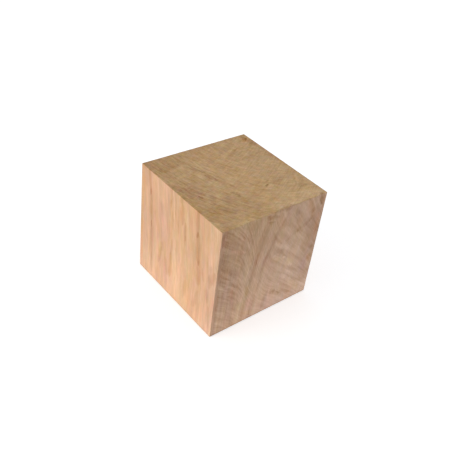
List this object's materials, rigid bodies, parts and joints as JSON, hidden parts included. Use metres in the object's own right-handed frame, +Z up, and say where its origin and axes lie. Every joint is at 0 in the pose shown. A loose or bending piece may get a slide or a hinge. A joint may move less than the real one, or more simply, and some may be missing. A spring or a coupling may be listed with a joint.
{
  "type": "wooden cube",
  "caption": "Solid hardwood cube with planed faces and lightly eased edges, used as a block, riser, weight or bench stop.",
  "frame": {"origin": "middle of the face that the cube rests on", "axes": "+Z up along the grain, out of the top end-grain face; -Y out of the rift-sawn front face; -X out of the flat-sawn left face"},
  "size_m": [0.1, 0.1, 0.1],
  "materials": {
    "oak": "planed bare oak, matt, end grain top and bottom"
  },
  "bodies": {
    "root": {"wooden_cube": "oak"}
  },
  "joints": []
}
